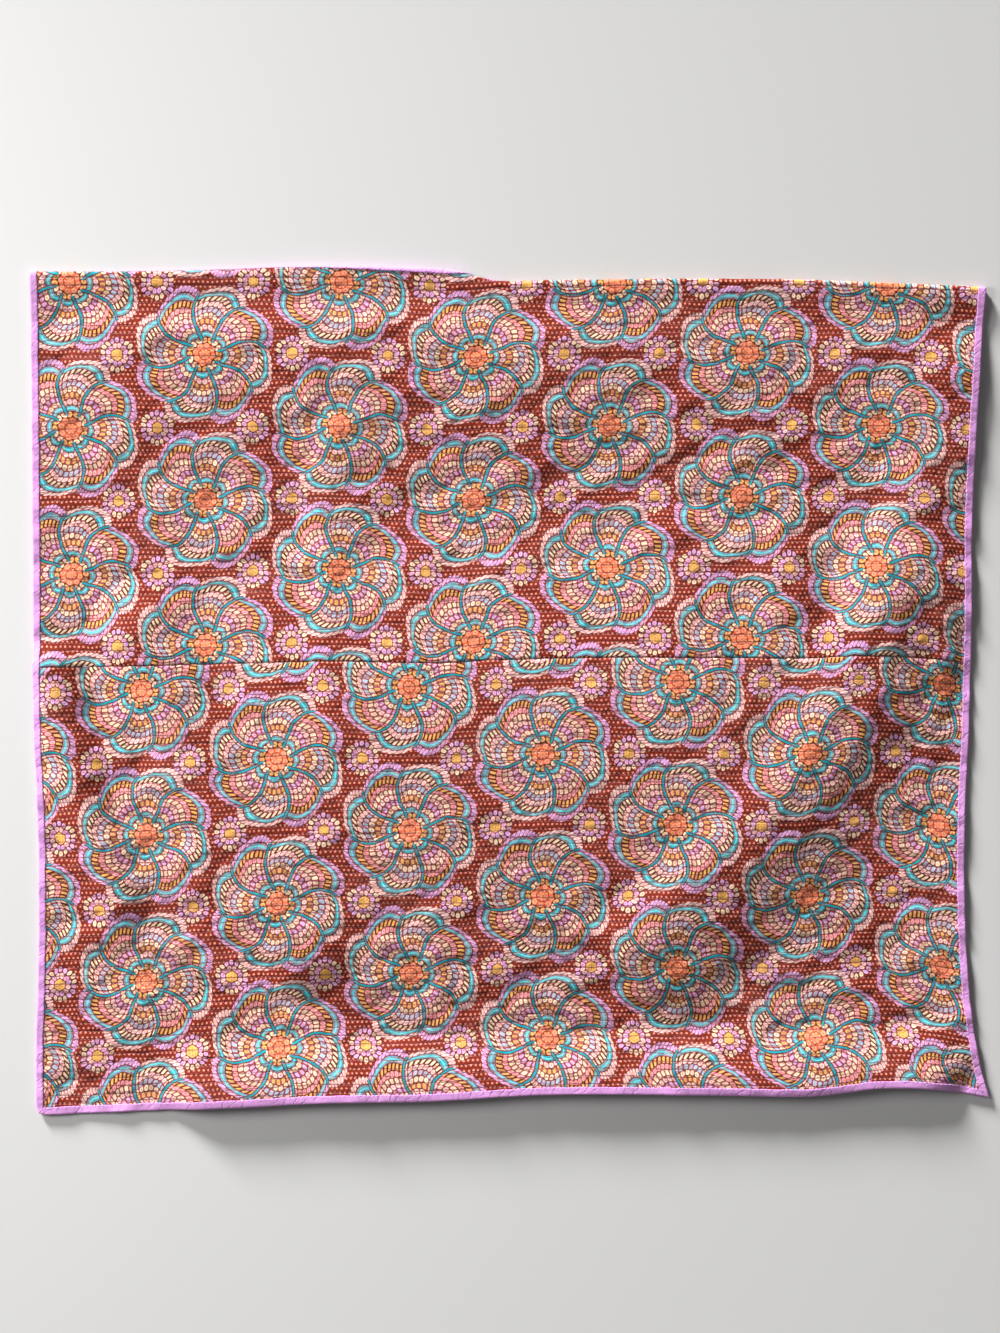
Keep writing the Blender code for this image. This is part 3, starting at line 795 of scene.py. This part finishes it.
def binding(name, edge, material):
    """A strip of plain cotton folded around one edge, a little puckered by its stitches."""
    along_u = edge in ("top", "bottom")
    whole = WIDTH if along_u else LENGTH
    section = folded_section()
    lines = []
    for distance, n, puff in section:
        along = strip_places(whole, distance, mitred=True)
        n = n + np.sign(n) * PUFF * puff * (ripples(STRIP_PUCKERS, along) - 1) / 2
        across = distance + ripples(LINE_WANDER, along) * (distance > WANDER_START)
        across = across if edge in ("top", "left") else (LENGTH if along_u else WIDTH) - across
        u, v = (along, across) if along_u else (across, along)
        lines.append((u, v, n))
    u, v, n = (np.concatenate([line[k] for line in lines]) for k in range(3))
    points = offset_surface(u, v, n)
    per_line = len(lines[0][0])
    numbers = np.arange(len(u)).reshape(len(lines), per_line)
    ring = np.concatenate((numbers, numbers[:1]))
    flip = edge in ("top", "right")
    faces = grid_faces(ring, flip)
    half = len(section) // 2
    for end, turned in ((0, not flip), (-1, flip)):
        outer_end = numbers[:half, end]
        inner_end = numbers[half:, end][::-1]
        cap = np.stack((outer_end, inner_end))
        faces += grid_faces(cap, turned)
    share = np.repeat(np.arange(len(lines)) / len(lines), per_line)
    lengthwise = np.tile(np.linspace(0, 1, per_line), len(lines))
    cloth = np.stack((u, v, n), axis=1)
    return finished(
        name,
        points,
        faces,
        cloth,
        np.stack((lengthwise, share), axis=1),
        [material],
        [0] * len(faces),
    )


class Field:
    """A number that changes over the cloth: the output of a shader node, written as sums."""

    def __init__(self, tree, socket):
        self.tree = tree
        self.socket = socket

    def math(self, operation, *others):
        node = self.tree.nodes.new("ShaderNodeMath")
        node.operation = operation
        for entry, value in zip(node.inputs, (self, *others)):
            if isinstance(value, Field):
                self.tree.links.new(value.socket, entry)
            else:
                entry.default_value = value
        return Field(self.tree, node.outputs[0])

    def __add__(self, other):
        return self.math("ADD", other)

    def __sub__(self, other):
        return self.math("SUBTRACT", other)

    def __mul__(self, other):
        return self.math("MULTIPLY", other)

    def __truediv__(self, other):
        return self.math("DIVIDE", other)

    def wrapped(self, size):
        return self.math("FLOORED_MODULO", size)

    def above(self, tint):
        """The share of a tint where this value passes its start."""
        return (self - tint.start) * tint.strength

    def inside(self, limit, softness):
        """1 where the value is below the limit, 0 above it, with a soft step between."""
        node = self.tree.nodes.new("ShaderNodeMapRange")
        node.interpolation_type = "SMOOTHSTEP"
        self.tree.links.new(self.socket, node.inputs["Value"])
        node.inputs["From Min"].default_value = limit - softness
        node.inputs["From Max"].default_value = limit + softness
        node.inputs["To Min"].default_value = 1.0
        node.inputs["To Max"].default_value = 0.0
        return Field(self.tree, node.outputs["Result"])


class Cloth:
    """A material's node tree, with the cloth's own measures as fields."""

    def __init__(self, name):
        self.material = bpy.data.materials.new(name)
        self.material.use_nodes = True
        self.tree = self.material.node_tree
        self.shader = self.tree.nodes["Principled BSDF"]
        self.shader.inputs["Metallic"].default_value = 0.0
        self.measures = self.tree.nodes.new("ShaderNodeAttribute")
        self.measures.attribute_name = "cloth"
        split = self.tree.nodes.new("ShaderNodeSeparateXYZ")
        self.link(self.measures.outputs["Vector"], split.inputs[0])
        self.u = Field(self.tree, split.outputs["X"])
        self.v = Field(self.tree, split.outputs["Y"])

    def link(self, output, entry):
        self.tree.links.new(output, entry)

    def noise(self, spots):
        """Cloudy noise with spots of that size, as a field from 0 to 1."""
        sizes = self.tree.nodes.new("ShaderNodeVectorMath")
        sizes.operation = "DIVIDE"
        self.link(self.measures.outputs["Vector"], sizes.inputs[0])
        sizes.inputs[1].default_value = (spots.across, spots.down, 1.0)
        node = self.tree.nodes.new("ShaderNodeTexNoise")
        node.inputs["Scale"].default_value = 1.0
        node.inputs["Detail"].default_value = spots.detail
        self.link(sizes.outputs[0], node.inputs["Vector"])
        return Field(self.tree, node.outputs["Fac"])

    def mix(self, below, above, share, blend="MIX"):
        """One colour over another. Each colour is a node's output or three numbers."""
        node = self.tree.nodes.new("ShaderNodeMix")
        node.data_type = "RGBA"
        node.blend_type = blend
        for name, colour in (("A_Color", below), ("B_Color", above)):
            entry = next(one for one in node.inputs if one.identifier == name)
            if isinstance(colour, tuple):
                entry.default_value = (*colour, 1.0)
            else:
                self.link(colour, entry)
        factor = node.inputs[0]
        if isinstance(share, Field):
            self.link(share.socket, factor)
        else:
            factor.default_value = share
        return next(one for one in node.outputs if one.identifier == "Result_Color")

    def steps(self, field, rows):
        """A stepped table: field 0 reads the first row and 1 the end. Returns colour and alpha."""
        node = self.tree.nodes.new("ShaderNodeValToRGB")
        node.color_ramp.interpolation = "CONSTANT"
        stops = node.color_ramp.elements
        for number, (colour, alpha) in enumerate(rows):
            stop = stops[number] if number < 2 else stops.new(1.0)
            stop.position = number / len(rows)
            stop.color = (*colour, alpha)
        self.link(field.socket, node.inputs[0])
        return node.outputs["Color"], Field(self.tree, node.outputs["Alpha"])

    def paint(self, colour):
        self.link(colour, self.shader.inputs["Base Color"])

    def weave(self):
        """Threads over and under each other, from -1 to 1."""
        turn = 2 * np.pi / WEAVE_PITCH
        return (self.u * turn).math("SINE") * (self.v * turn).math("SINE")

    def finish(self, finish, wear, height):
        """Roughness that follows a field of wear, sheen, specular, and bump from a height field."""
        rough = self.tree.nodes.new("ShaderNodeMapRange")
        rough.inputs["To Min"].default_value = finish.smoothest
        rough.inputs["To Max"].default_value = finish.roughest
        self.link(wear.socket, rough.inputs["Value"])
        self.link(rough.outputs["Result"], self.shader.inputs["Roughness"])
        self.shader.inputs["Sheen Weight"].default_value = finish.sheen
        self.shader.inputs["Specular IOR Level"].default_value = finish.specular
        bump = self.tree.nodes.new("ShaderNodeBump")
        bump.inputs["Strength"].default_value = 1.0
        bump.inputs["Distance"].default_value = finish.bump
        self.link(height.socket, bump.inputs["Height"])
        self.link(bump.outputs["Normal"], self.shader.inputs["Normal"])


def flower(cloth, x, y, bands, petals, stems, below):
    """A flower of beaded bands that bow out over its petals, painted over the colour below it."""
    radius = (x * x + y * y).math("SQRT")
    turn = y.math("ARCTAN2", x) * (petals / (2 * np.pi))
    if stems:
        swirl = (radius * (np.pi / (len(bands) * BAND_WIDTH))).math("SINE") * PETAL_SWIRL
        turn = turn + swirl
    aside = turn.wrapped(1.0) - 0.5
    bow = (aside * np.pi).math("COSINE") * PETAL_BOW + (1 - PETAL_BOW / 2)
    place = radius / bow / BAND_WIDTH
    band = place.math("FLOOR")
    across = place - band - 0.5
    per_petal = (band + 0.5) * (2 * np.pi * BAND_WIDTH / MARK_PITCH / petals)
    count = turn * per_petal.math("ROUND").math("MAXIMUM", 1.0)
    along = count.wrapped(1.0) - 0.5
    scatter = (count.math("FLOOR") * SCATTER_ALONG + band * SCATTER_ACROSS).math("SINE")
    chance = (scatter * SCATTER_SPREAD).wrapped(1.0)

    share = (band + 0.5) / len(bands)
    marks, fullness = cloth.steps(share, [(row.mark, row.fullness) for row in bands])
    odd_marks, line = cloth.steps(share, [(row.odd_mark, row.line) for row in bands])
    ground, length = cloth.steps(share, [(row.ground, row.length) for row in bands])
    marks = cloth.mix(marks, odd_marks, turn.math("FLOOR").wrapped(2.0))
    marks = cloth.mix(marks, DUSTY_PINK, chance * MARK_VARIETY)
    out_across = (across / MARK_HALF_WIDTH).math("POWER", 2.0)
    shape = (along / length).math("POWER", 2.0) + out_across * fullness
    painted = cloth.mix(ground, marks, shape.inside(*MARK_EDGE))
    painted = cloth.mix(painted, ROSE, shape.inside(*EYE_EDGE) * fullness * EYE_STRENGTH)
    from_middle = across.math("ABSOLUTE")
    painted = cloth.mix(painted, PALE_TEAL, from_middle.inside(*LINE_EDGE) * line)
    painted = cloth.mix(DEEP_RUST, painted, from_middle.inside(*BAND_EDGE))
    painted = cloth.mix(below, painted, place.inside(float(len(bands)), FLOWER_SOFTNESS))
    if not stems:
        return painted
    from_stem = (aside.math("ABSOLUTE") * -1.0 + 0.5) * radius * (2 * np.pi / petals)
    before_end = place.inside(len(bands) - STEM_END, STEM_ENDS_SOFTNESS)
    along_stem = before_end - place.inside(STEM_START, STEM_ENDS_SOFTNESS)
    painted = cloth.mix(painted, DEEP_RUST, from_stem.inside(*STEM_OUTLINE_EDGE) * along_stem)
    return cloth.mix(painted, TEAL, from_stem.inside(*STEM_EDGE) * along_stem)


def dotted_ground(cloth, x, y):
    """Deep rust cloth with pale dots in staggered lines."""
    line = (y / DOT_PITCH).math("FLOOR")
    dot_x = (x / DOT_PITCH + line.wrapped(2.0) * 0.5).wrapped(1.0) - 0.5
    dot_y = (y / DOT_PITCH).wrapped(1.0) - 0.5
    dot = dot_x * dot_x + dot_y * dot_y
    return cloth.mix(RUST, DUSTY_PINK, dot.inside(*DOT_EDGE))


def stitch_rows(cloth):
    """Distance to the nearest row of stitches in metres, and 1 where its thread lies on top."""
    place = cloth.v - SEAM
    for wave in WANDER:
        turns = cloth.u / wave.across + cloth.v / wave.down
        place = place + (turns * (2 * np.pi)).math("SINE") * wave.height
    row = (place / ROW_PITCH + 0.5).math("FLOOR")
    away = (place - row * ROW_PITCH).math("ABSOLUTE")
    shifted = cloth.u / STITCH_PITCH + (row * SCATTER_ALONG).math("SINE") * DASH_SPREAD
    dash = (shifted.wrapped(1.0) - 0.5).math("ABSOLUTE").inside(*DASH_EDGE)
    return away, dash


def cotton_relief(cloth, away, dash):
    """Weave, the gathers along each row, and the thread, as shares of the bump's height."""
    near = away.inside(*GATHERED_EDGE)
    pulled = cloth.noise(GATHERS) * (near * GATHER_AT_ROW + GATHER_EVERYWHERE)
    creases = cloth.noise(FINE_CREASES) * CREASE_HEIGHT
    thread = away.inside(*RAISED_THREAD_EDGE) * dash * THREAD_HEIGHT
    hollow = away.inside(*HOLLOW_EDGE) * HOLLOW_DEPTH
    return pulled + creases + cloth.weave() * WEAVE_HEIGHT + thread - hollow


def printed_cotton(name, shift):
    """The printed face of one panel."""
    cloth = Cloth(name)
    x = cloth.u + (cloth.noise(STRAY_ACROSS) - 0.5) * HAND_STRAY + shift.across
    y = cloth.v + (cloth.noise(STRAY_DOWN) - 0.5) * HAND_STRAY + shift.down
    column = (x / REPEAT_ACROSS).math("FLOOR")
    in_x = x - (column + 0.5) * REPEAT_ACROSS
    drop = y + column.wrapped(2.0) * (REPEAT_DOWN / 2)
    in_bloom = drop.wrapped(REPEAT_DOWN) - REPEAT_DOWN / 2
    in_gap = (drop + REPEAT_DOWN / 2).wrapped(REPEAT_DOWN) - REPEAT_DOWN / 2

    colour = dotted_ground(cloth, x, y)
    beside = in_x.math("ABSOLUTE") - ROSETTE_ASIDE
    colour = flower(cloth, beside, in_gap, ROSETTE, ROSETTE_PETALS, False, colour)
    colour = flower(cloth, in_x, in_bloom, BLOOM, BLOOM_PETALS, True, colour)

    away, dash = stitch_rows(cloth)
    wear = cloth.noise(WEAR)
    colour = cloth.mix(colour, FADED, cloth.noise(FADING).above(FADED_TINT))
    colour = cloth.mix(colour, FADED, wear.above(WORN_TINT))
    # Painted shade: deep rust darkens the cloth beside each row of stitches, in patches, standing in
    # for the shade of the puckers there
    shade = away.inside(*ROW_SHADE_EDGE) * cloth.noise(ROW_SHADE_SPOTS).above(ROW_PAINTED_SHADE)
    colour = cloth.mix(colour, DEEP_RUST, shade)
    thread = away.inside(*THREAD_EDGE) * dash
    colour = cloth.mix(colour, STITCH_ROSE, thread * THREAD_STRENGTH)
    cloth.paint(colour)
    cloth.finish(PRINT_FINISH, wear, cotton_relief(cloth, away, dash))
    return cloth.material


def hemming(cloth):
    """Slanting stitches along the inner line of the binding, and the narrow folds they pull."""
    from_side = (cloth.u * -1.0 + WIDTH).math("MINIMUM", cloth.u)
    from_end = (cloth.v * -1.0 + LENGTH).math("MINIMUM", cloth.v)
    to_inner_line = from_side.math("MINIMUM", from_end) * -1.0 + BINDING_WIDTH
    along = cloth.u + cloth.v
    slant = (along / WHIP_PITCH).wrapped(1.0) - 0.5
    whip = slant.math("ABSOLUTE").inside(*WHIP_EDGE) * to_inner_line.inside(*WHIP_REACH_EDGE)
    stray = cloth.noise(FOLD_LINE_STRAY) * FOLD_LINE_TURN
    wave = (along * (2 * np.pi / FOLD_LINE_PITCH) + stray).math("SINE")
    patches = cloth.noise(FOLD_PATCHES).inside(*FOLD_PATCH_EDGE)
    return whip, (wave * -1.0).inside(*FOLD_LINE_EDGE) * patches


def darker(colour, tone):
    return tuple(tone * part for part in colour)


def plain_cotton(name, base, faded, with_rows):
    """Plain woven cotton, with rows of stitches on a panel's back or hemmed as a binding."""
    cloth = Cloth(name)
    slubs = cloth.noise(SLUBS)
    colour = cloth.mix(base, faded, cloth.noise(PLAIN_FADING))
    colour = cloth.mix(colour, darker(base, SLUB_TONE), slubs.above(SLUB_TINT))
    height = cloth.noise(PLAIN_PUCKERS) * PUCKER_HEIGHT
    height = height + cloth.weave() * WEAVE_HEIGHT + slubs * SLUB_HEIGHT
    if with_rows:
        away, dash = stitch_rows(cloth)
        thread = away.inside(*THREAD_EDGE) * dash
        colour = cloth.mix(colour, STITCH_PALE, thread)
        hollow = away.inside(*BACK_ROW_EDGE) * BACK_ROW_DEPTH
        height = height - hollow + thread * BACK_THREAD_HEIGHT
    else:
        whip, fold_lines = hemming(cloth)
        # Painted shade: the binding's narrow fold lines are given a deeper colour, standing in for
        # the shade inside them
        dark = darker(base, FOLD_LINE_SHADE_TONE)
        colour = cloth.mix(colour, dark, fold_lines * FOLD_LINE_SHADE_STRENGTH)
        colour = cloth.mix(colour, BINDING_STITCH, whip * THREAD_STRENGTH)
        height = height - fold_lines * FOLD_LINE_DEPTH - whip * WHIP_DEPTH
    cloth.paint(colour)
    cloth.finish(PLAIN_FINISH, slubs, height)
    return cloth.material


def floor():
    """A plain pale floor well beyond the view."""
    mesh = bpy.data.meshes.new("floor")
    corners = [(x * FLOOR_REACH, y * FLOOR_REACH, 0) for x, y in SQUARE]
    mesh.from_pydata(corners, [], [(0, 1, 2, 3)])
    made = bpy.data.objects.new("floor", mesh)
    bpy.context.scene.collection.objects.link(made)
    material = bpy.data.materials.new("pale_floor")
    material.use_nodes = True
    shader = material.node_tree.nodes["Principled BSDF"]
    shader.inputs["Base Color"].default_value = (*FLOOR_PALE, 1.0)
    shader.inputs["Roughness"].default_value = FLOOR_ROUGHNESS
    shader.inputs["Specular IOR Level"].default_value = FLOOR_SPECULAR
    mesh.materials.append(material)
    return made


def area_light(name, place, aim, size, power):
    """A round soft light at a place, turned to what it lights."""
    data = bpy.data.lights.new(name, "AREA")
    data.shape = "DISK"
    data.size = size
    data.energy = power
    made = bpy.data.objects.new(name, data)
    bpy.context.scene.collection.objects.link(made)
    made.location = place
    direction = np.array(aim) - np.array(place)
    made.rotation_mode = "QUATERNION"
    made.rotation_quaternion = look_along(direction)
    return made


def far_light(name, direction, angle, strength):
    """A soft light so far away that it falls off nowhere."""
    data = bpy.data.lights.new(name, "SUN")
    data.angle = angle
    data.energy = strength
    made = bpy.data.objects.new(name, data)
    bpy.context.scene.collection.objects.link(made)
    made.rotation_mode = "QUATERNION"
    made.rotation_quaternion = look_along(direction)
    return made


def look_along(direction):
    return Vector(tuple(float(part) for part in direction)).to_track_quat("-Z", "Y")


def surroundings():
    """Soft light from all around, pale towards the horizon and weak overhead."""
    world = bpy.data.worlds.new("studio")
    world.use_nodes = True
    nodes, links = world.node_tree.nodes, world.node_tree.links
    place = nodes.new("ShaderNodeTexCoord")
    split = nodes.new("ShaderNodeSeparateXYZ")
    rise = nodes.new("ShaderNodeMapRange")
    rise.interpolation_type = "SMOOTHSTEP"
    rise.inputs["From Min"].default_value = FADE_START
    rise.inputs["From Max"].default_value = FADE_END
    rise.inputs["To Min"].default_value = HORIZON_LIGHT
    rise.inputs["To Max"].default_value = OVERHEAD_LIGHT
    links.new(place.outputs["Generated"], split.inputs[0])
    links.new(split.outputs["Z"], rise.inputs["Value"])
    links.new(rise.outputs["Result"], nodes["Background"].inputs["Strength"])
    nodes["Background"].inputs["Color"].default_value = (1.0, 1.0, 1.0, 1.0)
    bpy.context.scene.world = world


def camera():
    """Straight above, so that the view takes in the same floor as the photograph."""
    data = bpy.data.cameras.new("camera")
    data.lens = LENS
    data.sensor_width = SENSOR
    data.clip_end = 100.0
    made = bpy.data.objects.new("camera", data)
    bpy.context.scene.collection.objects.link(made)
    made.location = (*VIEW_MIDDLE, VIEW_HEIGHT * LENS / SENSOR)
    bpy.context.scene.camera = made


clear_scene()
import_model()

print_upper = printed_cotton("print_upper", UPPER_SHIFT)
print_lower = printed_cotton("print_lower", LOWER_SHIFT)
backing = plain_cotton("backing_cotton", BACK_LILAC, BACK_PALE, with_rows=True)
edging = plain_cotton("binding_cotton", BINDING_LILAC, BINDING_PALE, with_rows=False)

upper = panel("quilted_upper", True, [print_upper, backing])
lower = panel("quilted_lower", False, [print_lower, backing])
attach(upper, "root")
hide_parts("upper_panel")
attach(lower, "root")
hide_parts("lower_panel")

for edge in ("top", "bottom", "left", "right"):
    strip = binding("edging_" + edge, edge, edging)
    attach(strip, "root")
    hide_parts("binding_" + edge)

floor()
far_light("key", KEY_DIRECTION, KEY_ANGLE, KEY_STRENGTH)
area_light("side fill", FILL_PLACE, FILL_AIM, FILL_SIZE, FILL_POWER)
surroundings()
bpy.context.scene.view_settings.view_transform = "Standard"
camera()
